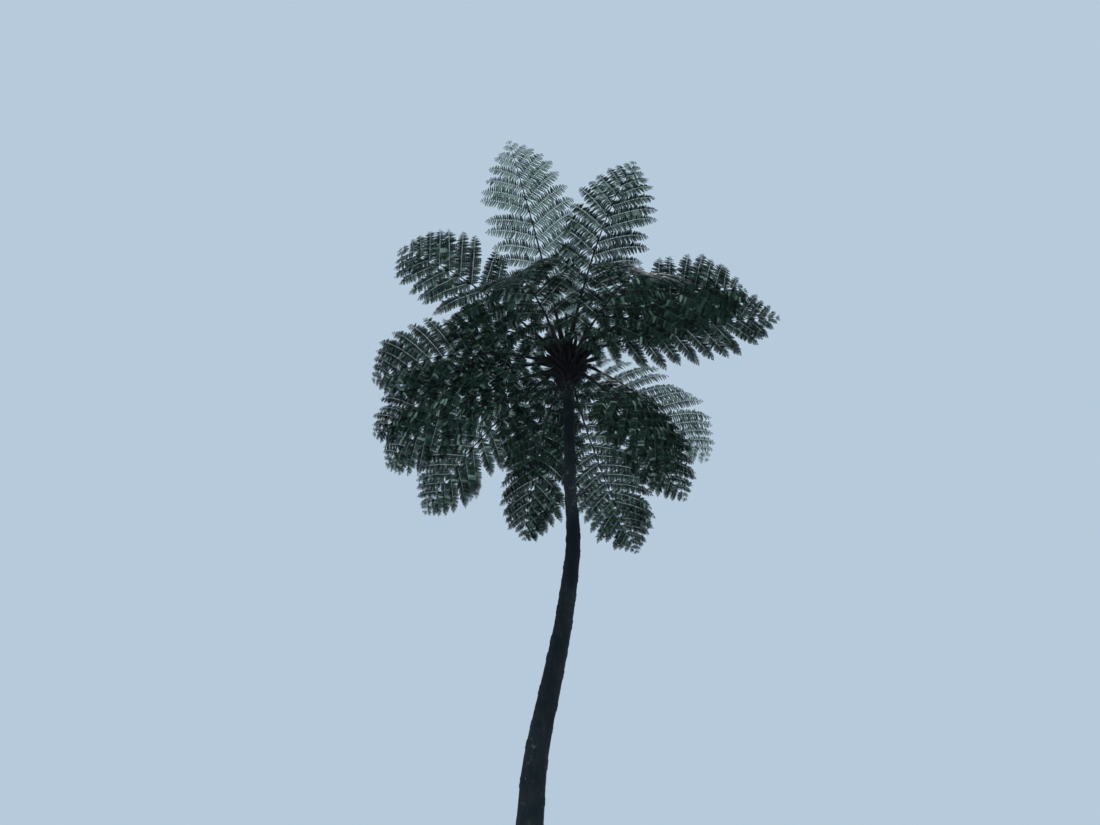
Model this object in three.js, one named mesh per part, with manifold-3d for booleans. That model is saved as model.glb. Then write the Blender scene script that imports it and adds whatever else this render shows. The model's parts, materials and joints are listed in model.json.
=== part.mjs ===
// A tree fern: a slender leaning trunk that carries a ring of arching fronds.
// Millimetres, +Z up. The origin is the middle of the flat cut at ground level.
// The fern faces -Y: near fronds reach toward -Y and back fronds toward +Y.

import * as THREE from "three";
import { mergeGeometries, mergeVertices } from "three/addons/utils/BufferGeometryUtils.js";
import Module from "manifold-3d";

const wasm = await Module();
wasm.setup();

// Trunk: its route, with the radius at each height, from the root flare to the crown
const TRUNK_ROUTE = [
  { height: 0, lean: 0, radius: 150 },
  { height: 600, lean: 5, radius: 132 },
  { height: 2000, lean: 50, radius: 116 },
  { height: 4000, lean: 190, radius: 99 },
  { height: 5600, lean: 328, radius: 83 },
  { height: 6050, lean: 357, radius: 77 },
  { height: 6600, lean: 450, radius: 71 },
  { height: 7200, lean: 548, radius: 64 },
  { height: 7600, lean: 595, radius: 60 },
  { height: 8000, lean: 633, radius: 55 },
  { height: 8600, lean: 612, radius: 48 },
  { height: 9600, lean: 620, radius: 48 },
  { height: 10120, lean: 610, radius: 66 },
];
const TRUNK_SIDES = 16;
const TRUNK_STEPS = 34;
const SIDEWAYS_BOW = 60; // how far the middle of the trunk bows toward +Y
const FLARE = 75; // how far the root mantle stands out at the ground
const FLARE_HEIGHT = 330; // the height over which the root mantle dies away
const FLARE_LOBES = 5;
const LOBE_DEPTH = 0.3; // of the flare, how much comes and goes round the foot

// Crown head: the knob of leaf bases at the tip of the trunk
const HUB = new THREE.Vector3(610, 0, 10340);
const HEAD_PROFILE = [
  [66, -219.7],
  [98, -150],
  [122, -50],
  [118, 60],
  [88, 150],
  [40, 205],
];
const HEAD_SIDES = 20;

// Fronds
const STALK_INSET = 60; // how far from the hub's middle a stalk starts
const STALK_HALF = 15; // half the width of a stalk
const STALK_DEPTH = 13; // half the depth of a stalk
const BLADE_DEPTH = 4; // half the thickness of a blade at its rib
const BLADE_HALF = 420; // half the width of a frond at its widest
const BARE = 0.14; // the share of a frond's length that is bare stalk
const WIDEST = 0.4; // where a blade is widest, as a share of its leafy length
const FOOT_WIDTH = 0.35; // the width of a blade at its lowest leaves, as a share of the widest
const TIP_BLUNTNESS = 4.5;
const ARCH = 1.3; // above 1, a frond bends more toward its tip
const FROND_STEPS = 14;
const PATH_STEPS = 56;
const BEND_AT = 0.52; // where a frond is parted into an inner and an outer blade
const GAP = 0.3; // between the halves of a parted frond, and round the crown head
const CLEARANCE = 2; // left above and below a frond where another makes room for it
const EDGE_ROOM = 0.1; // left beside it, as a share of its width

// Each frond: heading in degrees from +X, length, rise at the hub and droop at the
// tip in degrees above level, sweep to one side, roll about its rib, the angle that
// its leaves hang below the rib, and the height of its foot above the hub.
const FRONDS = [
  { name: "near_left", heading: -106, length: 2060, rise: 28, droop: -12,
    sweep: 3, roll: 6, hang: 12, lift: 100 },
  { name: "near_right", heading: -78, length: 1950, rise: 24, droop: -18,
    sweep: 9, roll: 6, hang: 12, lift: 90 },
  { name: "front_left", heading: -110, length: 1860, rise: 8, droop: -88,
    sweep: 0, roll: 5, hang: 12, lift: -50 },
  { name: "front_right", heading: -64, length: 2000, rise: 6, droop: -82,
    sweep: -3, roll: 5, hang: 12, lift: -60 },
  { name: "right_up", heading: -38, length: 1950, rise: 18, droop: -56,
    sweep: 8, roll: -4, hang: 8, lift: 0 },
  { name: "right", heading: -11, length: 1950, rise: 15, droop: -20,
    sweep: -3, roll: 1, hang: 5, lift: 100 },
  { name: "right_down", heading: 37, length: 1840, rise: 18, droop: -32,
    sweep: 7, roll: 6, hang: 10, lift: 100 },
  { name: "right_low", heading: 42, length: 1560, rise: 12, droop: -42,
    sweep: 5, roll: 30, hang: 10, lift: -20 },
  { name: "back_right", heading: 51, length: 2120, rise: 25, droop: -36,
    sweep: 7, roll: 19, hang: 10, lift: 0 },
  { name: "back_middle", heading: 81, length: 2570, rise: 13, droop: -20,
    sweep: -17, roll: -5, hang: 12, lift: 70 },
  { name: "back_left", heading: 107, length: 1930, rise: 9, droop: -42,
    sweep: -9, roll: -28, hang: 12, lift: -50 },
  { name: "back_left_high", heading: 104, length: 1920, rise: 35, droop: -25,
    sweep: 0, roll: 0, hang: 12, lift: 80 },
  { name: "left_back", heading: 128, length: 2160, rise: 17, droop: -58,
    sweep: 13, roll: -6, hang: 9, lift: 20 },
  { name: "left_down", heading: 146, length: 2130, rise: 26, droop: -68,
    sweep: 19, roll: -6, hang: 13, lift: -50 },
  { name: "left_low", heading: 157, length: 2080, rise: 25, droop: -50,
    sweep: 4, roll: -7, hang: 12, lift: 40 },
  { name: "left", heading: 176, length: 1900, rise: 30, droop: -49,
    sweep: 1, roll: 12, hang: 12, lift: -30 },
  { name: "left_up", heading: -148, length: 1980, rise: 31, droop: -45,
    sweep: 15, roll: 9, hang: 10, lift: 40 },
  { name: "high_right", heading: -22, length: 1640, rise: 26, droop: -38,
    sweep: 4, roll: -4, hang: 4, lift: 140 },
  { name: "high_left", heading: -172, length: 1200, rise: 38, droop: -40,
    sweep: 2, roll: 0, hang: 10, lift: 160 },
];

const bark = new THREE.MeshStandardMaterial({ color: 0x2c2a26, roughness: 0.95, metalness: 0 });
const scales = new THREE.MeshStandardMaterial({ color: 0x2a1d14, roughness: 0.9, metalness: 0 });
const leaf = new THREE.MeshStandardMaterial({ color: 0x2f4a33, roughness: 0.6, metalness: 0 });

const radians = THREE.MathUtils.degToRad;

// Bends a capped cylinder: place gets the fraction of the way along and the spot on
// the unit circle, and gives the point in space.
function swept(sides, steps, place) {
  const geometry = new THREE.CylinderGeometry(1, 1, 1, sides, steps);
  const points = geometry.attributes.position;
  for (let i = 0; i < points.count; i += 1) {
    const spot = place(points.getY(i) + 0.5, points.getX(i), points.getZ(i));
    points.setXYZ(i, spot.x, spot.y, spot.z);
  }
  return geometry;
}

function toSolid(geometry) {
  geometry.deleteAttribute("normal");
  geometry.deleteAttribute("uv");
  const merged = mergeVertices(geometry, 1e-3);
  const vertProperties = Float32Array.from(merged.attributes.position.array);
  const triVerts = Uint32Array.from(merged.index.array);
  return new wasm.Manifold(new wasm.Mesh({ numProp: 3, vertProperties, triVerts }));
}

function toGeometry(solid) {
  const mesh = solid.getMesh();
  const geometry = new THREE.BufferGeometry();
  geometry.setAttribute("position", new THREE.BufferAttribute(mesh.vertProperties, 3));
  geometry.setIndex(new THREE.BufferAttribute(mesh.triVerts, 1));
  geometry.computeVertexNormals();
  return geometry;
}

function largest(solid) {
  return solid.decompose().reduce((best, piece) => (piece.volume() > best.volume() ? piece : best));
}

function named(name, geometry, material) {
  const mesh = new THREE.Mesh(geometry, material);
  mesh.name = name;
  return mesh;
}

// A smooth curve through the trunk's route, whose points hold the lean, radius and height
const trunkCurve = new THREE.CatmullRomCurve3(
  TRUNK_ROUTE.map(({ height, lean, radius }) => new THREE.Vector3(lean, radius, height)),
);

function trunkPoint(fraction, across, along) {
  const { x: lean, y: core, z: height } = trunkCurve.getPoint(fraction);
  const bow = SIDEWAYS_BOW * Math.sin((Math.PI * height) / HUB.z);
  const flare = FLARE * Math.exp(-height / FLARE_HEIGHT);
  const lobes = 1 + LOBE_DEPTH * Math.cos(FLARE_LOBES * Math.atan2(along, across));
  const radius = core + flare * lobes;
  return new THREE.Vector3(lean + radius * across, bow - radius * along, height);
}

function trunk() {
  return swept(TRUNK_SIDES, TRUNK_STEPS, trunkPoint);
}

function head(margin) {
  const profile = HEAD_PROFILE.map(([radius, z]) => new THREE.Vector2(radius + margin, z));
  const foot = new THREE.Vector2(0, profile[0].y - margin);
  const top = new THREE.Vector2(0, profile[profile.length - 1].y + margin);
  const geometry = new THREE.LatheGeometry([foot, ...profile, top], HEAD_SIDES);
  geometry.rotateX(Math.PI / 2);
  geometry.translate(HUB.x, HUB.y, HUB.z);
  return geometry;
}

// Half the width of a frond at a share of its length
function halfWidth(share) {
  const leafy = (share - BARE) / (1 - BARE);
  if (leafy <= 0) {
    return STALK_HALF;
  }
  if (leafy < WIDEST) {
    return BLADE_HALF * THREE.MathUtils.lerp(FOOT_WIDTH, 1, THREE.MathUtils.smoothstep(leafy, 0, WIDEST));
  }
  return BLADE_HALF * (1 - ((leafy - WIDEST) / (1 - WIDEST)) ** TIP_BLUNTNESS);
}

// The rib of a frond as a list of places, each with its directions along, aside and up
function ribOf({ heading, length, rise, droop, sweep, roll, lift }) {
  const start = radians(heading);
  const inset = new THREE.Vector3(Math.cos(start), Math.sin(start), 0).multiplyScalar(STALK_INSET);
  const at = HUB.clone().add(inset);
  at.z += lift;
  const rib = [];
  for (let step = 0; step <= PATH_STEPS; step += 1) {
    const share = step / PATH_STEPS;
    const pitch = radians(rise + (droop - rise) * share ** ARCH);
    const turn = radians(heading + sweep * share);
    const level = Math.cos(pitch);
    const along = new THREE.Vector3(level * Math.cos(turn), level * Math.sin(turn), Math.sin(pitch));
    const aside = new THREE.Vector3(Math.sin(turn), -Math.cos(turn), 0);
    aside.applyAxisAngle(along, radians(roll));
    const up = aside.clone().cross(along);
    rib.push({ at: at.clone(), along, aside, up });
    at.addScaledVector(along, length / PATH_STEPS);
  }
  return rib;
}

// One face of a frond's blade, the upper one with side 1 and the lower one with side -1
function bladeFace(frond, rib, margin, side) {
  const hang = Math.tan(radians(frond.hang));
  const face = new THREE.PlaneGeometry(2, 1, 2, FROND_STEPS);
  const points = face.attributes.position;
  for (let i = 0; i < points.count; i += 1) {
    const across = points.getX(i);
    const share = points.getY(i) + 0.5;
    const { at, along, aside, up } = rib[Math.round(share * PATH_STEPS)];
    const half = halfWidth(share) * (margin > 0 ? 1 + EDGE_ROOM : 1);
    const onEdge = across !== 0 || share === 0 || share === 1;
    const depth = onEdge ? 0 : (share <= BARE ? STALK_DEPTH : BLADE_DEPTH) + margin;
    const spot = at
      .clone()
      .addScaledVector(aside, half * across)
      .addScaledVector(up, side * depth - half * Math.abs(across) * hang)
      .addScaledVector(along, (share - 0.5) * 2 * margin);
    points.setXYZ(i, spot.x, spot.y, spot.z);
  }
  if (side < 0) {
    face.index.array.reverse();
  }
  return face;
}

// A frond as one thin blade of its outline, made larger all round by a margin
function blade(frond, margin) {
  const rib = ribOf(frond);
  return mergeGeometries([bladeFace(frond, rib, margin, 1), bladeFace(frond, rib, margin, -1)]);
}

// Parts a frond in two across its rib, with a gap between the halves
function parted(solid, frond) {
  const { at, along } = ribOf(frond)[Math.round(BEND_AT * PATH_STEPS)];
  const offset = at.dot(along);
  const outer = solid.trimByPlane([along.x, along.y, along.z], offset + GAP / 2);
  const inner = solid.trimByPlane([-along.x, -along.y, -along.z], GAP / 2 - offset);
  return { inner: largest(inner), outer: largest(outer) };
}

const fern = new THREE.Group();
fern.name = "tree_fern";
fern.add(named("trunk", trunk(), bark));
fern.add(named("crown_head", head(0), scales));

const taken = [toSolid(head(GAP))];
for (const frond of FRONDS) {
  const whole = toSolid(blade(frond, 0));
  const cut = taken.reduce((rest, other) => rest.subtract(other), whole);
  taken.push(toSolid(blade(frond, CLEARANCE)));
  const { inner, outer } = parted(largest(cut), frond);
  fern.add(named(`frond_${frond.name}_inner`, toGeometry(inner), leaf));
  fern.add(named(`frond_${frond.name}_outer`, toGeometry(outer), leaf));
}

export default fern;
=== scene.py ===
"""A tree fern: bark, leaf bases, stalks, ribs and leaflets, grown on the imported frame."""
import json
import math

import bmesh
import bpy
import numpy as np
from bpy.props import FloatProperty, FloatVectorProperty, IntProperty, PointerProperty
from bpy.types import Operator, Panel, PropertyGroup
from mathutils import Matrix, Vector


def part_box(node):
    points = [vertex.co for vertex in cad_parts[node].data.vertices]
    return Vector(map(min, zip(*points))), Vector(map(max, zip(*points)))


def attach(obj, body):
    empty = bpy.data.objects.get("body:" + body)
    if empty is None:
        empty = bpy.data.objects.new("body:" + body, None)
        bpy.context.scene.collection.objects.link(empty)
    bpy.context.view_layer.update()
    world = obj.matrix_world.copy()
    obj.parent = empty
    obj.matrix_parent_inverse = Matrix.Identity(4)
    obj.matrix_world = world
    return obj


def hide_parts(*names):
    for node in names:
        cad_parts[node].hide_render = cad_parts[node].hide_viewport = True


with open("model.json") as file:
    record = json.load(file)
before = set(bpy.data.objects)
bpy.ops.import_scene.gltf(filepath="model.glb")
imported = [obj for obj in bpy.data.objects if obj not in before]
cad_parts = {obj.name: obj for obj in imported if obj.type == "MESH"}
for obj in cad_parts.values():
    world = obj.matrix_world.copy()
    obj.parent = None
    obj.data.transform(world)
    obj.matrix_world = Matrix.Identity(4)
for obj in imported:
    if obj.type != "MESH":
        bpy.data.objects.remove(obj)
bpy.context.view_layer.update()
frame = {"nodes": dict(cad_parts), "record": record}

bl_info = {
    "name": "Tree Fern",
    "version": (1, 0, 0),
    "blender": (4, 5, 0),
    "location": "3D View > Sidebar > Fern",
    "description": "Grows a tree fern with a leaning trunk and arching, feathery fronds",
    "category": "Add Mesh",
}

BODY = "root"

# The view, as the fern was seen from the ground
VIEW_WIDTH = 1100
VIEW_FOCAL = 1150.0
SENSOR = 36.0
VIEW_TILT = 52.6
EYE = (0.45, -6.1, 1.6)

# The crown, from the frame
HEAD_LOW, HEAD_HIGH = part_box("crown_head")
HEAD_BELOW_HUB = 0.2197
HUB = np.array([
    (HEAD_LOW.x + HEAD_HIGH.x) / 2,
    (HEAD_LOW.y + HEAD_HIGH.y) / 2,
    HEAD_LOW.z + HEAD_BELOW_HUB,
])

# The light from above: its width and its turn about each axis, in degrees
LIGHT_SPREAD = 25
LIGHT_TURN = (-16, 8, 0)

# How a frond is laid out: lengths in metres, shares of its length or width, then how blunt its
# tip is, how late it arches and how many steps its path has
STALK_INSET = 0.06
STALK_HALF = 0.015
BLADE_HALF = 0.42
BARE = 0.09
WIDEST = 0.38
FOOT_WIDTH = 0.5
TIP_BLUNTNESS = 4.5
ARCH = 1.3
PATH_STEPS = 56

# Side branches: their steps, the halvings in the search for their reach, how far they rise, and
# how far they sag where a frond hangs
PINNA_STEPS = 12
REACH_HALVINGS = 12
PINNA_RISE = 0.16
SAG_BY_HANG = 6.0

# Leaflets: shares of their length, how far they sag, the age up to which they have two sides,
# and how far apart in metres those are
LOBES_FROM = 0.02
LOBED_LENGTH = 0.93
TIP_LENGTH = 0.05
TIP_HALF = 0.012
END_LEAFLET = 0.32
LEAFLET_SAG = 0.12
TWO_SIDED_UNTIL = 0.5
LEAFLET_THICKNESS = 0.0012

# Tones of the leaflets, in steps between the leaf colours, and the share of them that glint
TOP_TONE = 2.4
TONE_SPREAD = 0.9
GLINT = 2.6
GLINT_SHARE = 0.10

# The trunk: points round it, steps up it, how many of them to each side its corners are rounded
# over, the height where the leaf scars begin and how softly the mantle ends
RING_SIDES = 64
TRUNK_STEPS = 1200
BEND_ROUNDING = 42
GIRTH_ROUNDING = 18
SCARS_FROM = 0.4
MANTLE_FADE = 0.55

# The crown head's core and its old leaf bases: metres from the hub, the length of the shortest
# base, then their rise in degrees and their bend upward
CORE_HALF = 0.135
CORE_ABOVE = 0.20
CORE_BELOW = 0.215
STUBS_BELOW = 0.34
STUBS_SPAN = 0.44
SHORTEST_STUB = 0.07
STUB_RISE = 30
STUB_BEND = 0.25

# Where the chance of each part begins, so that every run grows the same fern
TRUNK_SEED = 7
HEAD_SEED = 11
FROND_SEED = 100

# Each frond: name, heading, length, rise at its foot, droop at its tip, sweep, roll, hang of its
# side branches, lift of its foot, and its age from 0, just grown and light, to 1, old and dark;
# the light tones of young fronds are partly painted light shining through them.
# Lengths are in metres and angles in degrees.
FRONDS = (
    ("near_left", -106, 2.06, 28, -12, 3, 6, 12, 0.10, 0.0),
    ("near_right", -78, 1.95, 24, -18, 9, 6, 12, 0.09, 0.4),
    ("front_left", -110, 1.86, 8, -88, 0, 5, 12, -0.05, 1.0),
    ("front_right", -64, 2.00, 6, -82, -3, 5, 12, -0.06, 1.0),
    ("right_up", -38, 1.95, 18, -56, 8, -4, 8, 0.0, 0.9),
    ("right", -11, 1.95, 15, -20, -3, 1, 5, 0.10, 0.95),
    ("right_down", 37, 1.84, 18, -32, 7, 6, 10, 0.10, 0.12),
    ("right_low", 42, 1.56, 12, -42, 5, 30, 10, -0.02, 0.9),
    ("back_right", 51, 2.12, 25, -36, 7, 19, 10, 0.0, 0.9),
    ("back_middle", 81, 2.57, 13, -20, -17, -5, 12, 0.07, 0.88),
    ("back_left", 107, 1.93, 9, -42, -9, -28, 12, -0.05, 1.0),
    ("back_left_high", 104, 1.92, 35, -25, 0, 0, 12, 0.08, 0.85),
    ("left_back", 128, 2.16, 17, -58, 13, -6, 9, 0.02, 0.82),
    ("left_down", 146, 2.13, 26, -68, 19, -6, 13, -0.05, 0.8),
    ("left_low", 157, 2.08, 25, -50, 4, -7, 12, 0.04, 0.85),
    ("left", 176, 1.90, 30, -49, 1, 12, 12, -0.03, 0.9),
    ("left_up", -148, 1.98, 31, -45, 15, 9, 10, 0.04, 0.83),
    ("high_right", -22, 1.64, 26, -38, 4, -4, 4, 0.14, 0.85),
    ("high_left", -172, 1.2, 38, -40, 2, 0, 10, 0.16, 0.9),
)

# The turn from one leaf to the next round the stem
GOLDEN_TURN = math.radians(137.508)


class FernTrunk(PropertyGroup):
    """Sizes of the trunk's bark, leaf scars and root mantle."""

    columns: IntProperty(name="Columns", description="Faces round the trunk", default=72, min=16)
    rows: IntProperty(name="Rows", description="Faces up the trunk", default=1300, min=100)
    scar_width: FloatProperty(
        name="Scar width", description="Width of a leaf scar", default=0.042, unit="LENGTH")
    scar_height: FloatProperty(
        name="Scar height", description="Height of a leaf scar", default=0.062, unit="LENGTH")
    scar_climb: FloatProperty(
        name="Scar climb", description="Rise from one leaf scar to the next", default=0.034, unit="LENGTH")
    scar_relief: FloatProperty(
        name="Scar relief", description="Height of a scar's rim", default=0.0045, unit="LENGTH")
    mantle_height: FloatProperty(
        name="Mantle height", description="Where the root mantle has thinned by half",
        default=2.4, unit="LENGTH")
    fibre_relief: FloatProperty(
        name="Fibre relief", description="Depth between the mantle's roots", default=0.009, unit="LENGTH")


class FernFrond(PropertyGroup):
    """Sizes of the fronds' parts."""

    pinna_gap: FloatProperty(
        name="Side branch gap", description="Distance between a frond's side branches",
        default=0.118, unit="LENGTH")
    leaflet_length: FloatProperty(
        name="Leaflet length", description="Length of the longest leaflets", default=0.070, unit="LENGTH")
    leaflet_gap: FloatProperty(
        name="Leaflet gap", description="Distance between leaflets on a side branch",
        default=0.020, unit="LENGTH")
    leaflet_width: FloatProperty(
        name="Leaflet width", description="Width of a leaflet at its foot as a share of its length",
        default=0.335, subtype="FACTOR")
    lobes: IntProperty(name="Lobes", description="Lobes on each side of a leaflet", default=4, min=2)
    rib_radius: FloatProperty(
        name="Rib radius", description="Radius of a stalk at its foot", default=0.021, unit="LENGTH")
    costa_radius: FloatProperty(
        name="Side rib radius", description="Radius of a side branch at its foot",
        default=0.0036, unit="LENGTH")


class FernHead(PropertyGroup):
    """Sizes of the crown head."""

    stubs: IntProperty(name="Stubs", description="Old leaf bases below the fronds", default=130, min=3)
    stub_radius: FloatProperty(
        name="Stub radius", description="Radius of an old leaf base", default=0.020, unit="LENGTH")
    stub_length: FloatProperty(
        name="Stub length", description="Length of the longest old leaf bases",
        default=0.36, unit="LENGTH")
    scales: IntProperty(
        name="Scales", description="Papery scales on the head and stalks", default=2600, min=10)
    scale_length: FloatProperty(
        name="Scale length", description="Length of a scale", default=0.034, unit="LENGTH")


class FernColours(PropertyGroup):
    """Colours of the fern."""

    bark: FloatVectorProperty(
        name="Bark", description="Old, dark bark", default=(0.020, 0.033, 0.042), subtype="COLOR")
    fibre: FloatVectorProperty(
        name="Root fibre", description="Roots of the mantle, greyer than the bark",
        default=(0.043, 0.047, 0.045), subtype="COLOR")
    lichen: FloatVectorProperty(
        name="Lichen", description="Pale lichen on the bark", default=(0.20, 0.22, 0.18), subtype="COLOR")
    scale: FloatVectorProperty(
        name="Scale", description="Papery scales", default=(0.027, 0.022, 0.021), subtype="COLOR")
    leaf_base: FloatVectorProperty(
        name="Leaf base", description="Old leaf bases", default=(0.024, 0.025, 0.031), subtype="COLOR")
    rib: FloatVectorProperty(
        name="Rib", description="Stalks and ribs", default=(0.011, 0.013, 0.013), subtype="COLOR")
    side_rib: FloatVectorProperty(
        name="Side rib", description="Pale ribs of the side branches",
        default=(0.13, 0.165, 0.135), subtype="COLOR")
    old_leaf: FloatVectorProperty(
        name="Old leaf", description="Darkest leaflets", default=(0.007, 0.018, 0.014), subtype="COLOR")
    leaf: FloatVectorProperty(
        name="Leaf", description="Grown leaflets", default=(0.029, 0.081, 0.055), subtype="COLOR")
    fresh_leaf: FloatVectorProperty(
        name="Fresh leaf", description="Lighter leaflets", default=(0.070, 0.149, 0.111), subtype="COLOR")
    # Pale undersides of young leaflets: partly their own paler colour, partly painted light shining
    # through them
    underside: FloatVectorProperty(
        name="Underside", description="Pale undersides of young leaflets",
        default=(0.49, 0.69, 0.57), subtype="COLOR")


class FernStage(PropertyGroup):
    """The sky, floor and light."""

    sky: FloatVectorProperty(
        name="Sky", description="Colour all round", default=(0.468, 0.591, 0.708), subtype="COLOR")
    shade: FloatProperty(
        name="Shade", description="Light from below as a share of the light from above",
        default=0.2, subtype="FACTOR")
    floor_radius: FloatProperty(
        name="Floor radius", description="Radius of the round floor", default=7.0, unit="LENGTH")
    floor: FloatVectorProperty(
        name="Floor", description="Colour of the floor", default=(0.62, 0.62, 0.60), subtype="COLOR")
    light: FloatProperty(name="Light", description="Strength of the light from above", default=2.2, min=0)


class Signal:
    """A socket's value, which takes part in sums written as Python."""

    def __init__(self, finish, socket):
        self.finish = finish
        self.socket = socket

    def maths(self, operation, first, second):
        made = self.finish.node("ShaderNodeMath", {"operation": operation}, {0: first, 1: second})
        return Signal(self.finish, made.outputs[0])

    def __add__(self, other):
        return self.maths("ADD", self, other)

    def __rsub__(self, other):
        return self.maths("SUBTRACT", other, self)

    def __mul__(self, other):
        return self.maths("MULTIPLY", self, other)


class Wiring:
    """A node tree, and how its nodes are made and joined."""

    def __init__(self, tree):
        self.tree = tree

    def node(self, kind, settings=None, inputs=None):
        made = self.tree.nodes.new(kind)
        for name, value in (settings or {}).items():
            setattr(made, name, value)
        for name, value in (inputs or {}).items():
            self.feed(made.inputs[name], value)
        return made

    def feed(self, socket, value):
        if isinstance(value, Signal):
            self.tree.links.new(value.socket, socket)
        elif hasattr(value, "__len__") and len(value) == 3 and socket.type == "RGBA":
            socket.default_value = (*value, 1)
        else:
            socket.default_value = value

    def between(self, signal, low, high, rest=0.0, kind="SMOOTHSTEP"):
        """The signal's share of the way from low to high, between rest and 1."""
        made = self.node("ShaderNodeMapRange", {"interpolation_type": kind}, {
            "Value": signal, "From Min": low, "From Max": high, "To Min": rest})
        return Signal(self, made.outputs[0])


class Finish(Wiring):
    """A material under construction, with the nodes that every material here starts from."""

    def __init__(self, name):
        self.material = bpy.data.materials.new(name)
        self.material.use_nodes = True
        super().__init__(self.material.node_tree)
        self.shader = self.tree.nodes["Principled BSDF"]
        self.place = None

    def stretched(self, scale):
        """The place on the object, stretched along each axis."""
        if self.place is None:
            self.place = Signal(self, self.node("ShaderNodeTexCoord").outputs["Object"])
        made = self.node("ShaderNodeMapping", inputs={"Vector": self.place, "Scale": scale})
        return Signal(self, made.outputs[0])

    def noise(self, scale, detail=3.0, roughness=0.55, stretch=(1, 1, 1)):
        made = self.node("ShaderNodeTexNoise", inputs={
            "Vector": self.stretched(stretch), "Scale": scale, "Detail": detail, "Roughness": roughness})
        return Signal(self, made.outputs[0])

    def mixed(self, share, first, second):
        made = self.node("ShaderNodeMix", {"data_type": "RGBA"}, {0: share, 6: first, 7: second})
        return Signal(self, made.outputs[2])

    def bump(self, height, strength, distance):
        made = self.node("ShaderNodeBump", inputs={
            "Height": height, "Strength": strength, "Distance": distance})
        self.feed(self.shader.inputs["Normal"], Signal(self, made.outputs[0]))

    def surface(self, **values):
        for name, value in values.items():
            self.feed(self.shader.inputs[name.replace("_", " ")], value)
        return self.material


def tuned(colour, share=1.0):
    return tuple(channel * share for channel in colour)


def bark_material(colours):
    """Dark bark with greyer root fibres, paler where lichen grows."""
    finish = Finish("bark")
    fibres = finish.noise(38, 5, 0.65, (1, 1, 0.16))
    stains = finish.noise(2.6, 4, 0.6, (1, 1, 0.45))
    spots = finish.noise(24, 5, 0.7, (1, 1, 0.7))
    dry = finish.mixed(finish.between(fibres, 0.35, 0.68), tuned(colours.bark), tuned(colours.fibre))
    damp = finish.mixed(finish.between(stains, 0.3, 0.6), tuned(colours.bark, 0.5), dry)
    grown = finish.between(spots * 0.6 + stains * 0.5, 0.60, 0.72)
    colour = finish.mixed(grown * 0.75, damp, tuned(colours.lichen))
    finish.bump(fibres * 0.7 + spots * 0.3, 0.7, 0.004)
    return finish.surface(Base_Color=colour, Roughness=0.95 - grown * 0.1, Specular_IOR_Level=0.2)


def leaf_base_material(colours):
    """Old leaf bases, nearly black, with browner streaks."""
    finish = Finish("leaf_base")
    fibres = finish.noise(70, 4, 0.6, (1, 1, 0.4))
    colour = finish.mixed(finish.between(fibres, 0.4, 0.7), tuned(colours.leaf_base), tuned(colours.scale))
    finish.bump(fibres, 0.6, 0.003)
    return finish.surface(Base_Color=colour, Roughness=0.9, Specular_IOR_Level=0.2)


def scale_material(colours):
    """Papery scales, some lighter than others."""
    finish = Finish("scale")
    tone = finish.between(finish.noise(30, 2), 0.35, 0.65)
    colour = finish.mixed(tone, tuned(colours.scale, 0.7), tuned(colours.scale, 1.5))
    return finish.surface(Base_Color=colour, Roughness=0.7, Specular_IOR_Level=0.3)


def rib_material(colours):
    """Dark stalks and ribs, with small warts."""
    finish = Finish("rib")
    tone = finish.between(finish.noise(14, 4, 0.6), 0.35, 0.65)
    colour = finish.mixed(tone, tuned(colours.rib, 0.55), tuned(colours.rib, 1.2))
    warts = finish.noise(160, 2)
    finish.bump(warts, 0.4, 0.001)
    return finish.surface(Base_Color=colour, Roughness=0.6)


def side_rib_material(colours):
    """The pale ribs of the side branches, in one plain colour."""
    finish = Finish("side_rib")
    return finish.surface(Base_Color=tuned(colours.side_rib), Roughness=0.6, Specular_IOR_Level=0.2)


def leaf_materials(colours):
    """Leaflets in one plain colour each, from the darkest to the lightest."""
    shades = (
        ("leaf_old", tuned(colours.old_leaf)),
        ("leaf_dark", tuned(colours.leaf, 0.7)),
        ("leaf_grown", tuned(colours.leaf, 1.15)),
        ("leaf_fresh", tuned(colours.fresh_leaf)),
        # The two palest steps come from the underside colour and are partly painted light: light shining
        # through young leaflets, and painted glints
        ("leaf_pale", tuned(colours.underside, 0.5)),
        ("leaf_palest", tuned(colours.underside)),
    )
    made = []
    for name, colour in shades:
        finish = Finish(name)
        made.append(finish.surface(Base_Color=colour, Roughness=0.55, Specular_IOR_Level=0.2))
    return made


def linked(name, mesh, materials):
    """An object for a finished mesh, with its materials."""
    for material in materials:
        mesh.materials.append(material)
    piece = bpy.data.objects.new(name, mesh)
    bpy.context.scene.collection.objects.link(piece)
    return piece


def from_bmesh(name, bm, materials, smooth=True):
    bmesh.ops.recalc_face_normals(bm, faces=bm.faces[:])
    mesh = bpy.data.meshes.new(name)
    bm.to_mesh(mesh)
    bm.free()
    if smooth:
        mesh.shade_smooth()
    return linked(name, mesh, materials)


def from_arrays(name, points, faces, shades, materials, smooth=False):
    """One joined mesh of many small things."""
    mesh = bpy.data.meshes.new(name)
    mesh.from_pydata(points.tolist(), [], faces.tolist())
    mesh.polygons.foreach_set("material_index", shades.astype(np.int32))
    if smooth:
        mesh.shade_smooth()
    mesh.update()
    return linked(name, mesh, materials)


def part_of_fern(piece, slot, *nodes):
    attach(piece, BODY)
    if nodes:
        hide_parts(*nodes)


def unit(vectors):
    return vectors / np.linalg.norm(vectors, axis=-1, keepdims=True)


def smoothstep(value, low, high):
    share = np.clip((value - low) / (high - low), 0, 1)
    return share * share * (3 - 2 * share)


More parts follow.
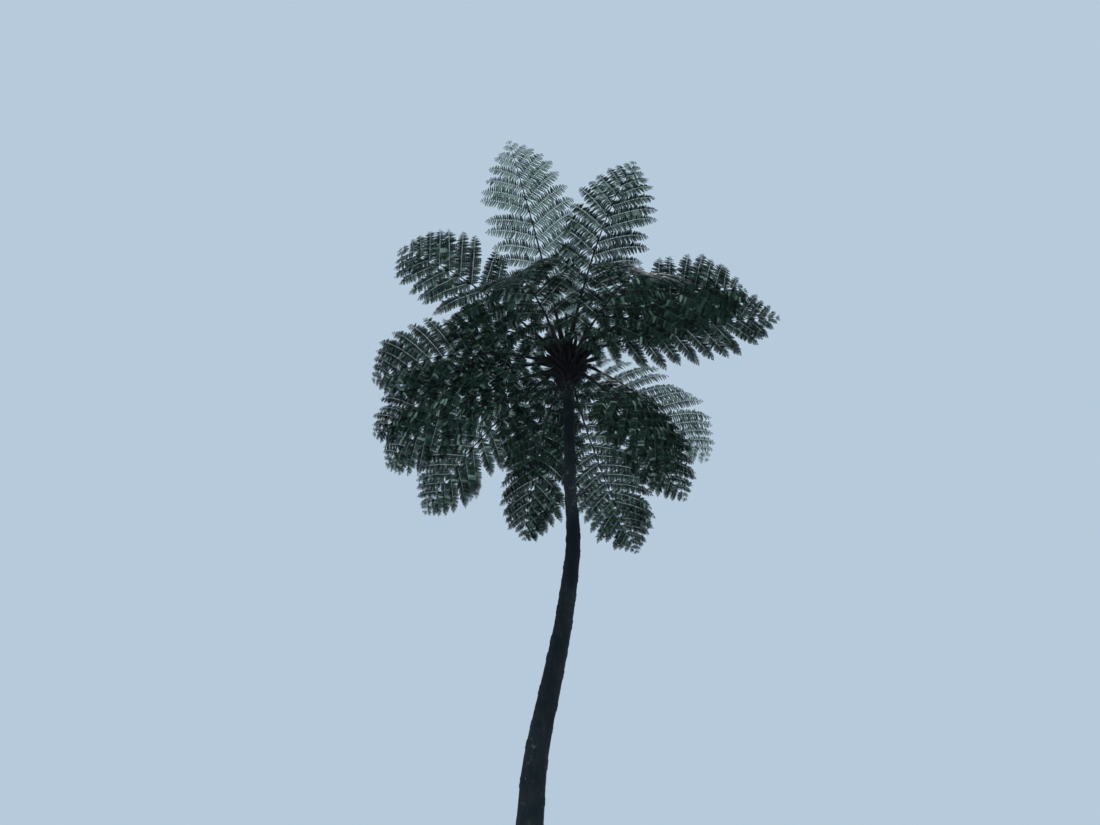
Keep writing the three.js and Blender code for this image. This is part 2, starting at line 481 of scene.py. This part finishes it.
def half_width(share):
    """Half the width of a frond at a share of its length."""
    leafy = (share - BARE) / (1 - BARE)
    if leafy <= 0:
        return STALK_HALF
    if leafy < WIDEST:
        return BLADE_HALF * (FOOT_WIDTH + (1 - FOOT_WIDTH) * smoothstep(leafy, 0, WIDEST))
    return BLADE_HALF * max(0, 1 - ((leafy - WIDEST) / (1 - WIDEST)) ** TIP_BLUNTNESS)


class Frond:
    """The rib of a frond: places from the hub to the tip, with the directions at each."""

    def __init__(self, name, heading, length, rise, droop, sweep, roll, hang, lift, age):
        self.name = name
        self.length = length
        self.sag = SAG_BY_HANG * math.tan(math.radians(hang))
        self.age = age
        share = np.linspace(0, 1, PATH_STEPS + 1)
        pitch = np.radians(rise + (droop - rise) * share ** ARCH)
        turn = np.radians(heading + sweep * share)
        self.along = np.stack([
            np.cos(pitch) * np.cos(turn),
            np.cos(pitch) * np.sin(turn),
            np.sin(pitch),
        ], 1)
        level = np.stack([np.sin(turn), -np.cos(turn), np.zeros_like(turn)], 1)
        raised = np.cross(level, self.along)
        lean = math.radians(roll)
        self.aside = level * math.cos(lean) - raised * math.sin(lean)
        self.up = np.cross(self.aside, self.along)
        start = math.radians(heading)
        foot = HUB + np.array([STALK_INSET * math.cos(start), STALK_INSET * math.sin(start), lift])
        steps = np.cumsum(self.along[:-1], 0) * length / PATH_STEPS
        self.places = np.vstack([foot, foot + steps])

    def at(self, share):
        """The place and the directions along, aside and up at a share of the length."""
        step = min(max(share, 0), 1) * PATH_STEPS
        low = min(int(step), PATH_STEPS - 1)
        rest = step - low
        return [
            values[low] * (1 - rest) + values[low + 1] * rest
            for values in (self.places, self.along, self.aside, self.up)
        ]


def tube(points, radii, sides):
    """A closed tube through points, as vertices and faces of four corners; sides is even."""
    along = unit(np.gradient(points, axis=0))
    spare = np.array([0.0, 0.0, 1.0]) if abs(along[0, 2]) < 0.9 else np.array([1.0, 0.0, 0.0])
    aside = unit(np.cross(along, spare))
    upward = np.cross(aside, along)
    angle = np.arange(sides) * 2 * math.pi / sides
    ring = np.cos(angle)[None, :, None] * aside[:, None] + np.sin(angle)[None, :, None] * upward[:, None]
    vertices = (points[:, None] + ring * radii[:, None, None]).reshape(-1, 3)
    count = len(points)
    step = np.arange(count - 1)[:, None] * sides
    here = np.arange(sides)[None]
    after = (here + 1) % sides
    corners = (step + here, step + after, step + sides + after, step + sides + here)
    walls = np.stack(corners, -1).reshape(-1, 4)
    last = (count - 1) * sides
    foot = [(0, c + 2, c + 1, c) for c in range(1, sides - 2, 2)]
    tip = [(last, last + c, last + c + 1, last + c + 2) for c in range(1, sides - 2, 2)]
    return vertices, np.vstack([walls, foot, tip])


class Pile:
    """Vertices and faces of many small things, piled up for one mesh."""

    def __init__(self):
        self.points, self.faces, self.shades, self.count = [], [], [], 0

    def add(self, points, faces, shade):
        self.points.append(points)
        self.faces.append(faces + self.count)
        self.shades.append(np.full(len(faces), shade))
        self.count += len(points)

    def piece(self, name, materials, smooth=False):
        points, faces, shades = np.vstack(self.points), np.vstack(self.faces), np.concatenate(self.shades)
        return from_arrays(name, points, faces, shades, materials, smooth)


def leaflet_shape(sizes, width, curl):
    """A leaflet one metre long: slanting lobes on both sides of a midrib, drooping to its tip."""
    bm = bmesh.new()
    pitch = LOBED_LENGTH / sizes.lobes
    for lobe in range(sizes.lobes):
        foot = LOBES_FROM + lobe * pitch
        reach = width / 2 * (1 - (lobe + 0.2) / sizes.lobes) ** 0.45
        made = bmesh.ops.create_grid(bm, x_segments=1, y_segments=1, size=0.5)
        for vert in made["verts"]:
            share, outward = vert.co.x + 0.5, vert.co.y + 0.5
            vert.co.x = foot + pitch * (share * (1 - 0.42 * outward) + outward * (0.62 + 0.2 * share))
            vert.co.y = outward * max(reach, TIP_HALF) * (1 - 0.12 * share)
            vert.co.z = -0.3 * vert.co.y - curl * vert.co.x ** 2
    tip = bmesh.ops.create_grid(bm, x_segments=1, y_segments=1, size=0.5)
    for vert in tip["verts"]:
        share, outward = vert.co.x + 0.5, vert.co.y + 0.5
        reach = LOBES_FROM + LOBED_LENGTH + share * TIP_LENGTH
        vert.co = (reach, outward * TIP_HALF * (1 - 0.75 * share), -curl * reach ** 2)
    everything = bm.verts[:] + bm.edges[:] + bm.faces[:]
    bmesh.ops.mirror(bm, geom=everything, axis="Y", merge_dist=1e-5)
    bmesh.ops.remove_doubles(bm, verts=bm.verts[:], dist=1e-5)
    bmesh.ops.recalc_face_normals(bm, faces=bm.faces[:])
    bm.verts.index_update()
    points = np.array([vert.co[:] for vert in bm.verts])
    faces = np.array([[vert.index for vert in face.verts] for face in bm.faces])
    bm.free()
    return points, faces


def pinna_path(frond, share, side, chance):
    """A side branch of a frond: its places, directions along and up, and its length."""
    at, along, aside, up = frond.at(share)
    leafy = max((share - BARE) / (1 - BARE), 0)
    forward = math.radians(8 + 16 * min(leafy / 0.25, 1) + 20 * leafy ** 2 + chance.normal(0, 3))
    low, high = 0, BLADE_HALF
    for _ in range(REACH_HALVINGS):
        reach = (low + high) / 2
        if reach < half_width(share + reach * math.tan(forward) / frond.length):
            low = reach
        else:
            high = reach
    t = np.linspace(0, 1, PINNA_STEPS + 1)[:, None]
    raised = PINNA_RISE + chance.normal(0, 0.04)
    course = math.cos(forward) * side * aside + math.sin(forward) * along + raised * up
    course = np.repeat(course[None], PINNA_STEPS + 1, 0)
    course -= frond.sag * (0.85 + 0.3 * chance.random()) * t ** 2.2 * np.array([0, 0, 1])
    course = unit(course)
    middle = (course[:-1] + course[1:]) / 2
    places = np.vstack([np.zeros(3), np.cumsum(middle, 0) / PINNA_STEPS])
    sideways = max(abs(places @ aside).max(), 0.5)
    length = max(reach / sideways, 0.04) * (1 + chance.normal(0, 0.03))
    upward = unit(up - course * (course @ up)[:, None])
    return at + places * length, course, upward, length


def along_path(values, t):
    """Values that are given at even steps of a path, at the shares t of the way."""
    step = t * (len(values) - 1)
    low = np.minimum(step.astype(int), len(values) - 2)
    rest = (step - low)[:, None]
    return values[low] * (1 - rest) + values[low + 1] * rest


def leaflets_of(path, frond, leafy, branch_side, sizes, shapes, chance, leaves, tone):
    """Two rows of leaflets along a side branch, and one at its end."""
    places, course, upward, length = path
    size = sizes.leaflet_length * min(1, length / (1.15 * BLADE_HALF)) ** 0.55
    gap = sizes.leaflet_gap * min(1, 0.55 + 0.4 * length / BLADE_HALF)
    count = max(3, int(length / gap))
    for side in (-1, 1, 0):
        if side:
            t = (np.arange(count) + (0.55 if side > 0 else 0.25)) / (count + 0.1)
        else:
            t = np.array([0.985])
        origin = along_path(places, t)
        along = unit(along_path(course, t))
        up = unit(along_path(upward, t))
        across = np.cross(up, along) * side
        lean = np.radians(14 + 34 * t ** 3 + chance.normal(0, 4, len(t)))[:, None]
        outward = across * np.cos(lean) + along * np.sin(lean) if side else along
        outward = outward - up * (0.10 + chance.normal(0, 0.12, (len(t), 1)))
        outward[:, 2] -= LEAFLET_SAG
        outward = unit(outward)
        normal = unit(up - outward * np.sum(up * outward, 1, keepdims=True))
        beside = np.cross(normal, outward) * (1 + frond.age * (0.5 * leafy ** 2 + 0.2 * t ** 2))[:, None]
        profile = np.minimum(1, 0.85 + 0.6 * t) * (1 - t ** 5) ** 0.8 + 0.06
        scale = size * profile * (1 + chance.normal(0, 0.05, len(t)))
        if not side:
            scale = np.array([size * END_LEAFLET])
        points, faces = shapes[chance.integers(len(shapes))]
        axes = np.stack([outward, beside, normal], 1) * scale[:, None, None]
        vertices = origin[:, None] + np.einsum("vi,nij->nvj", points, axes)
        shift = np.arange(len(t))[:, None, None] * len(points)
        together = (faces[None] + shift).reshape(-1, 4)
        # Leaflets on the side of a branch that faces the frond's tip are darker: painted shade, deepest on
        # young fronds
        painted_shade = 0.4 + 1.4 * (1 - frond.age) if side * branch_side > 0 else 0
        below = shades(tone - painted_shade, len(t), chance)
        leaves.add(vertices.reshape(-1, 3), together[:, ::-1], np.repeat(below, len(faces)))
        # Young leaflets get an upper side in greener tones, so that the pale tones of painted light
        # shining through show only from below
        if frond.age < TWO_SIDED_UNTIL:
            vertices = vertices + normal[:, None] * LEAFLET_THICKNESS
            above = shades(TOP_TONE - frond.age, len(t), chance)
            leaves.add(vertices.reshape(-1, 3), together, np.repeat(above, len(faces)))


def shades(tone, count, chance):
    """Which leaf colour each of some leaflets gets, from 0, darkest, to 5, palest."""
    # A share of the leaflets are lifted GLINT steps lighter: painted glints
    glint = GLINT * (chance.random(count) < GLINT_SHARE)
    return np.clip(np.rint(tone + glint + chance.normal(0, TONE_SPREAD, count)), 0, 5).astype(int)


def grow_frond(frond, sizes, shapes, chance):
    """The leaflets and the ribs of a frond, each as a pile."""
    leaves, ribs = Pile(), Pile()
    share = np.linspace(0, 1, PATH_STEPS + 1)
    thick = 0.55 + 0.45 * (1 - smoothstep(share, 0, 0.3))
    radii = sizes.rib_radius * (1 - share) ** 0.9 * thick + 0.0012
    ribs.add(*tube(frond.places, radii, 8), 0)
    pairs = round(frond.length * (1 - BARE) / sizes.pinna_gap)
    for pair in range(pairs):
        spread = (pair + 0.35) / pairs
        leafy = 1 - (1 - spread) ** 1.3
        for side in (-1, 1):
            share = BARE + (1 - BARE) * (leafy + side * 0.2 / pairs * (1 - leafy))
            path = pinna_path(frond, share, side, chance)
            # Younger fronds get paler tones: partly the lighter colour of young leaves, partly painted
            # light shining through their undersides
            tone = 0.3 + (1 - frond.age) * 4.6 + 0.5 * leafy + chance.normal(0, 0.3)
            leaflets_of(path, frond, leafy, side, sizes, shapes, chance, leaves, tone)
            slim = np.linspace(1, 0.3, len(path[0]))
            foot = sizes.costa_radius * min(1, 0.3 + 0.7 * path[3] / BLADE_HALF)
            ribs.add(*tube(path[0], foot * slim, 4), 1)
    return leaves, ribs


def sky_world(stage):
    """The sky: the same colour all round to the eye, but shady where it lights the fern from below."""
    world = bpy.data.worlds.new("sky")
    world.use_nodes = True
    wiring = Wiring(world.node_tree)
    seen = wiring.tree.nodes["Background"]
    wiring.feed(seen.inputs["Color"], tuned(stage.sky))
    place = wiring.node("ShaderNodeTexCoord")
    parts = wiring.node("ShaderNodeSeparateXYZ", inputs={0: Signal(wiring, place.outputs["Generated"])})
    strength = wiring.between(Signal(wiring, parts.outputs["Z"]), -0.25, 0.25, stage.shade, "LINEAR")
    lit = wiring.node("ShaderNodeBackground", inputs={"Color": tuned(stage.sky), "Strength": strength})
    ray = wiring.node("ShaderNodeLightPath")
    choice = wiring.node("ShaderNodeMixShader", inputs={
        0: Signal(wiring, ray.outputs["Is Camera Ray"]),
        1: Signal(wiring, lit.outputs[0]),
        2: Signal(wiring, seen.outputs[0]),
    })
    wiring.feed(wiring.tree.nodes["World Output"].inputs["Surface"], Signal(wiring, choice.outputs[0]))
    return world


class FERN_OT_view(Operator):
    """Set up the camera, the sky, the light and the floor"""

    bl_idname = "fern.view"
    bl_label = "View and Stage"

    def execute(self, context):
        stage = context.scene.fern_stage
        lens = bpy.data.cameras.new("view")
        lens.sensor_width = SENSOR
        lens.lens = VIEW_FOCAL / VIEW_WIDTH * SENSOR
        lens.clip_end = 200
        camera = bpy.data.objects.new("view", lens)
        camera.location = EYE
        camera.rotation_euler = (math.radians(90 + VIEW_TILT), 0, 0)
        context.scene.collection.objects.link(camera)
        context.scene.camera = camera
        context.scene.world = sky_world(stage)
        context.scene.view_settings.view_transform = "Standard"
        sun = bpy.data.lights.new("soft_light", "SUN")
        sun.energy = stage.light
        sun.angle = math.radians(LIGHT_SPREAD)
        lamp = bpy.data.objects.new("soft_light", sun)
        lamp.rotation_euler = [math.radians(angle) for angle in LIGHT_TURN]
        context.scene.collection.objects.link(lamp)
        bm = bmesh.new()
        bmesh.ops.create_circle(bm, cap_ends=True, segments=128, radius=stage.floor_radius)
        material = Finish("floor").surface(Base_Color=tuned(stage.floor), Roughness=0.9)
        floor = from_bmesh("floor", bm, [material], False)
        return {"FINISHED"}


def ring_data(node, sides):
    """Heights, middles and radii by angle of a frame node that is built of level rings."""
    mesh = frame["nodes"][node].data
    places = np.zeros(len(mesh.vertices) * 3)
    mesh.vertices.foreach_get("co", places)
    places = places.reshape(-1, 3)
    heights = np.unique(places[:, 2].round(4))
    middles, radii = [], []
    for height in heights:
        ring = np.unique(places[abs(places[:, 2] - height) < 1e-3].round(5), axis=0)
        middle = (ring.min(0) + ring.max(0))[:2] / 2
        offset = ring[:, :2] - middle
        reach = np.linalg.norm(offset, axis=1)
        angle = np.arctan2(offset[:, 1], offset[:, 0])
        keep = reach > 0.5 * reach.max()
        order = np.argsort(angle[keep])
        turn = np.linspace(-math.pi, math.pi, sides, endpoint=False)
        radii.append(np.interp(turn, angle[keep][order], reach[keep][order], period=2 * math.pi))
        middles.append(middle)
    return heights, np.array(middles), np.array(radii)


def rounded(values, window):
    """Values along the trunk, smoothed where the frame's rings make corners."""
    padded = np.pad(values, ((window, window), (0, 0)), mode="edge")
    kernel = np.hanning(2 * window + 1)
    kernel /= kernel.sum()
    return np.stack([np.convolve(column, kernel, "valid") for column in padded.T], 1)


def trunk_tracks():
    """Heights up the trunk, with its middle and its radii by angle at each, and corners rounded."""
    heights, middles, radii = ring_data("trunk", RING_SIDES)
    fine = np.linspace(0, heights[-1], TRUNK_STEPS)
    tracks = np.hstack([middles, radii])
    tracks = np.stack([np.interp(fine, heights, column) for column in tracks.T], 1)
    return fine, rounded(tracks[:, :2], BEND_ROUNDING), rounded(tracks[:, 2:], GIRTH_ROUNDING)


def scars(sizes, angle, height, girth, mantle):
    """How far the rims and cups of the leaf scars stand out at each place of the bark."""
    relief = np.zeros(len(height))
    scar_count = int((height.max() - SCARS_FROM) / sizes.scar_climb)
    for scar in range(scar_count):
        level = SCARS_FROM + scar * sizes.scar_climb
        around = (angle - scar * GOLDEN_TURN + math.pi) % (2 * math.pi) - math.pi
        near = abs(height - level) < sizes.scar_height * 1.3
        off = np.hypot(
            around[near] * girth[near] / sizes.scar_width * 2,
            (height[near] - level) / sizes.scar_height * 2,
        )
        rim = np.exp(-((off - 0.95) / 0.28) ** 2)
        cup = np.clip(1 - off, 0, 1) ** 0.5
        relief[near] += (rim - 0.45 * cup) * (1 - 0.85 * mantle[near])
    return relief * sizes.scar_relief


def wave(places, count, spread, chance):
    """Smooth noise, mostly between -1 and 1: a sum of plane waves, their frequencies spread by axis."""
    total = np.zeros(len(places))
    for _ in range(count):
        direction = chance.normal(0, 1, 3) * spread
        total += np.sin(places @ direction + chance.random() * 2 * math.pi)
    return total / math.sqrt(count)


class FERN_OT_trunk(Operator):
    """Model the trunk, with leaf scars above and a mantle of roots below"""

    bl_idname = "fern.trunk"
    bl_label = "Trunk"

    def execute(self, context):
        sizes = context.scene.fern_trunk
        colours = context.scene.fern_colours
        chance = np.random.default_rng(TRUNK_SEED)
        fine, middles, radii = trunk_tracks()
        bm = bmesh.new()
        bmesh.ops.create_grid(bm, x_segments=sizes.columns, y_segments=sizes.rows, size=0.5)
        mesh = bpy.data.meshes.new("trunk_bark")
        bm.to_mesh(mesh)
        bm.free()
        flat = np.zeros(len(mesh.vertices) * 3)
        mesh.vertices.foreach_get("co", flat)
        flat = flat.reshape(-1, 3)
        angle = flat[:, 0] * 2 * math.pi
        height = (flat[:, 1] + 0.5) * fine[-1]
        middle = np.stack([np.interp(height, fine, column) for column in middles.T], 1)
        row = np.clip(np.searchsorted(fine, height), 0, len(fine) - 1)
        column = (angle + math.pi) / (2 * math.pi) * RING_SIDES
        low = np.floor(column).astype(int) % RING_SIDES
        rest = column - np.floor(column)
        radius = radii[row, low] * (1 - rest) + radii[row, (low + 1) % RING_SIDES] * rest
        girth = np.interp(height, fine, radii.mean(1))
        mantle = 1 / (1 + np.exp((height - sizes.mantle_height) / MANTLE_FADE))
        relief = scars(sizes, angle, height, girth, mantle)
        ring = np.stack([np.cos(angle) * girth, np.sin(angle) * girth, height], 1)
        fibres = wave(ring, 26, np.array([150, 150, 7.0]), chance)
        roots = wave(ring, 20, np.array([60, 60, 2.2]), chance)
        lumps = wave(ring, 18, np.array([24, 24, 9.0]), chance)
        grain = wave(ring, 22, np.array([170, 170, 60.0]), chance)
        relief += sizes.fibre_relief * mantle * (0.45 * fibres + 0.5 * roots)
        relief += 0.0008 * fibres + 0.0014 * lumps + 0.0006 * grain
        reach = radius + relief
        placed = np.stack([
            middle[:, 0] + reach * np.cos(angle),
            middle[:, 1] + reach * np.sin(angle),
            height,
        ], 1)
        mesh.vertices.foreach_set("co", placed.ravel())
        bm = bmesh.new()
        bm.from_mesh(mesh)
        bpy.data.meshes.remove(mesh)
        bmesh.ops.remove_doubles(bm, verts=bm.verts[:], dist=1e-6)
        rims = [edge for edge in bm.edges if edge.is_boundary]
        bmesh.ops.holes_fill(bm, edges=rims, sides=0)
        trunk = from_bmesh("trunk_bark", bm, [bark_material(colours)])
        part_of_fern(trunk, "bark", "trunk")
        return {"FINISHED"}


def papery_scale(foot, course, beside, length):
    """One thin scale, bent back a little and pointed."""
    back = np.cross(course, beside)
    t = np.array([0, 0, 0.5, 0.5, 1, 1])
    half = np.array([1, -1, 0.8, -0.8, 0.06, -0.06]) * 0.07
    points = np.outer(t, course) + np.outer(half, beside) + np.outer(0.2 * t ** 2, back)
    return foot + points * length, np.array([[0, 1, 3, 2], [2, 3, 5, 4]])


def head_core(materials):
    """The knob that the leaf bases sit on, slightly lobed and narrower below."""
    bm = bmesh.new()
    bmesh.ops.create_uvsphere(bm, u_segments=40, v_segments=26, radius=1)
    for vert in bm.verts:
        waist = 1 + 0.05 * math.sin(5 * math.atan2(vert.co.y, vert.co.x) + 9 * vert.co.z)
        wide = CORE_HALF * waist * (1 - 0.18 * max(0, -vert.co.z))
        tall = CORE_ABOVE if vert.co.z > 0 else CORE_BELOW
        vert.co = (
            HUB[0] + vert.co.x * wide,
            HUB[1] + vert.co.y * wide,
            HUB[2] + vert.co.z * tall,
        )
    return from_bmesh("crown_head_core", bm, materials)


def old_leaf_bases(sizes, chance):
    """Stubs of old leaves round the head, the higher ones mostly longer, as a pile."""
    stubs = Pile()
    for stub in range(sizes.stubs):
        turn = stub * GOLDEN_TURN
        height = HUB[2] - STUBS_BELOW + STUBS_SPAN * stub / sizes.stubs
        girth = 0.055 + 0.045 * smoothstep(height, HUB[2] - 0.3, HUB[2])
        outward = np.array([math.cos(turn), math.sin(turn), 0])
        rise = math.radians(STUB_RISE + chance.normal(0, 8))
        course = outward * math.cos(rise) + np.array([0, 0, math.sin(rise)])
        longer = (sizes.stub_length - SHORTEST_STUB) * (stub / sizes.stubs) ** 1.5
        length = SHORTEST_STUB + longer * chance.random()
        foot = np.array([HUB[0], HUB[1], height]) + outward * girth * 0.8
        t = np.array([0, 0.35, 0.7, 0.94, 1.0])
        bend = np.array([0, 0, STUB_BEND])
        points = foot + np.outer(t, course * length) + np.outer(t ** 2, bend * length)
        radii = sizes.stub_radius * np.array([1.15, 1.0, 0.8, 0.68, 0.4])
        radii *= 0.85 + 0.3 * chance.random()
        stubs.add(*tube(points, radii, 8), 0)
    return stubs


def papery_scales(sizes, chance):
    """Scales on the head and on the feet of the stalks, as a pile."""
    papery = Pile()
    fronds = [Frond(*row) for row in FRONDS]
    for scale in range(sizes.scales):
        turn = chance.random() * 2 * math.pi
        if scale % 2:
            frond = fronds[chance.integers(len(fronds))]
            at, along, aside, up = frond.at(0.13 * chance.random() ** 1.5)
            outward = aside * math.cos(turn) + up * math.sin(turn)
            foot = at + outward * 0.015
        else:
            outward = np.array([math.cos(turn), math.sin(turn), 0])
            along = np.array([0, 0, 1])
            foot = HUB + outward * 0.09 + along * (0.34 * chance.random() - 0.25)
        course = unit(along * (0.5 + chance.random()) + outward * (0.3 + chance.random()))
        beside = unit(np.cross(course, outward + chance.normal(0, 0.3, 3)))
        length = sizes.scale_length * (0.5 + chance.random())
        papery.add(*papery_scale(foot, course, beside, length), 0)
    return papery


class FERN_OT_head(Operator):
    """Model the crown head, with old leaf bases and papery scales"""

    bl_idname = "fern.head"
    bl_label = "Crown Head"

    def execute(self, context):
        sizes = context.scene.fern_head
        colours = context.scene.fern_colours
        chance = np.random.default_rng(HEAD_SEED)
        bases = [leaf_base_material(colours)]
        part_of_fern(head_core(bases), "leaf_bases", "crown_head")
        stubs = old_leaf_bases(sizes, chance).piece("leaf_base_stubs", bases, smooth=True)
        part_of_fern(stubs, "leaf_bases")
        papery = papery_scales(sizes, chance).piece("papery_scales", [scale_material(colours)])
        part_of_fern(papery, "leaf_bases")
        return {"FINISHED"}


class FERN_OT_fronds(Operator):
    """Grow the fronds: stalks, ribs, side branches and leaflets"""

    bl_idname = "fern.fronds"
    bl_label = "Fronds"

    def execute(self, context):
        sizes = context.scene.fern_frond
        colours = context.scene.fern_colours
        greens = leaf_materials(colours)
        wood = [rib_material(colours), side_rib_material(colours)]
        slots = {part["node"]: part["material_slot"] for part in frame["record"]["subparts"]}
        for number, row in enumerate(FRONDS):
            frond = Frond(*row)
            width = sizes.leaflet_width * (0.88 + 0.34 * frond.age)
            shapes = [leaflet_shape(sizes, width, curl) for curl in (0.06, 0.14, 0.24)]
            chance = np.random.default_rng(FROND_SEED + number)
            leaves, ribs = grow_frond(frond, sizes, shapes, chance)
            green = leaves.piece(f"leaflets_{frond.name}", greens)
            halves = [f"frond_{frond.name}_{half}" for half in ("inner", "outer")]
            slot = slots[halves[0]]
            part_of_fern(green, slot, *halves)
            part_of_fern(ribs.piece(f"ribs_{frond.name}", wood, smooth=True), slot)
        return {"FINISHED"}


class FERN_PT_panel(Panel):
    """Lists the steps that make the fern"""

    bl_label = "Tree Fern"
    bl_idname = "FERN_PT_panel"
    bl_space_type = "VIEW_3D"
    bl_region_type = "UI"
    bl_category = "Fern"

    def draw(self, context):
        for step in STEPS:
            self.layout.operator(step.bl_idname)
        for group in SETTINGS:
            for name in group.__annotations__:
                self.layout.prop(getattr(context.scene, SETTINGS[group]), name)


STEPS = (FERN_OT_view, FERN_OT_trunk, FERN_OT_head, FERN_OT_fronds)
SETTINGS = {
    FernTrunk: "fern_trunk",
    FernFrond: "fern_frond",
    FernHead: "fern_head",
    FernColours: "fern_colours",
    FernStage: "fern_stage",
}


def register():
    for made in (*SETTINGS, *STEPS, FERN_PT_panel):
        bpy.utils.register_class(made)
    for group, name in SETTINGS.items():
        setattr(bpy.types.Scene, name, PointerProperty(type=group))


def unregister():
    for name in SETTINGS.values():
        delattr(bpy.types.Scene, name)
    for made in reversed((*SETTINGS, *STEPS, FERN_PT_panel)):
        bpy.utils.unregister_class(made)


def main():
    register()
    bpy.ops.fern.view()
    bpy.ops.fern.trunk()
    bpy.ops.fern.head()
    bpy.ops.fern.fronds()


if __name__ == "__main__":
    main()
